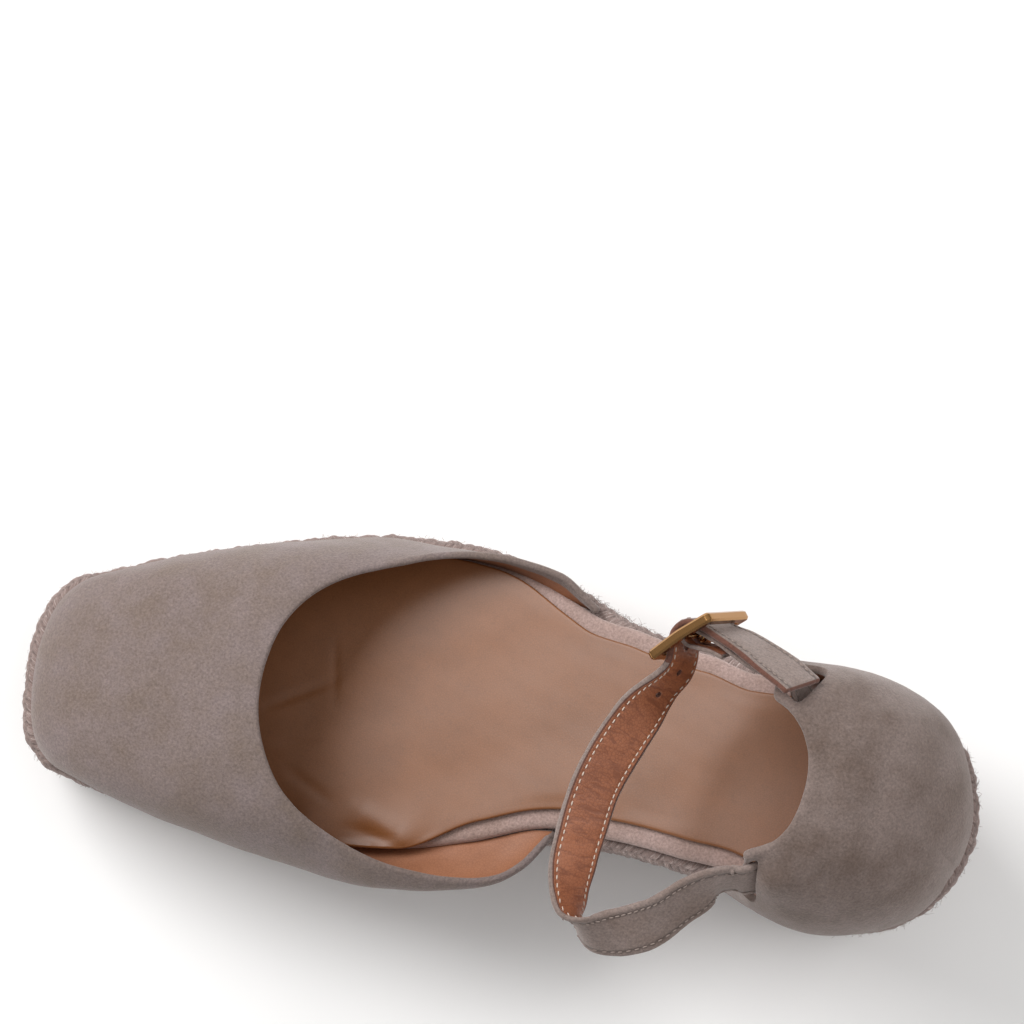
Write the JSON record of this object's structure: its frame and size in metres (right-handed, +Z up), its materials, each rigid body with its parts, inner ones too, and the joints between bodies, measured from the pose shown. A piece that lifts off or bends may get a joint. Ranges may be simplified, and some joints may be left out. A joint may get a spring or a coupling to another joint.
{
  "type": "wedge espadrille",
  "caption": "Right wedge espadrille with a closed square toe, hollow suede vamp and heel counter, a jute rope wedge sole and a slack buckled ankle strap.",
  "frame": {"origin": "middle of the shoe's box, on the floor that it stands on", "axes": "+X from the heel towards the toe, +Y towards the inner side of the foot, +Z up"},
  "size_m": [0.2424, 0.0998, 0.1175],
  "materials": {
    "crepe_rubber": "matt moulded",
    "jute_rope": "braided rope",
    "board_suede": "suede wrap",
    "sock_leather": "smooth grain",
    "upper_suede": "short nap suede",
    "strap_suede": "suede with smooth lining",
    "gilt_metal": "polished gilt"
  },
  "bodies": {
    "root": {"outsole": "crepe_rubber", "jute_midsole": "jute_rope", "jute_wedge": "jute_rope", "insole_board": "board_suede", "insole_sock": "sock_leather", "vamp": "upper_suede", "heel_counter": "upper_suede", "ankle_strap": "strap_suede", "buckle_strap": "strap_suede", "buckle_frame": "gilt_metal", "buckle_prong": "gilt_metal"}
  },
  "joints": []
}
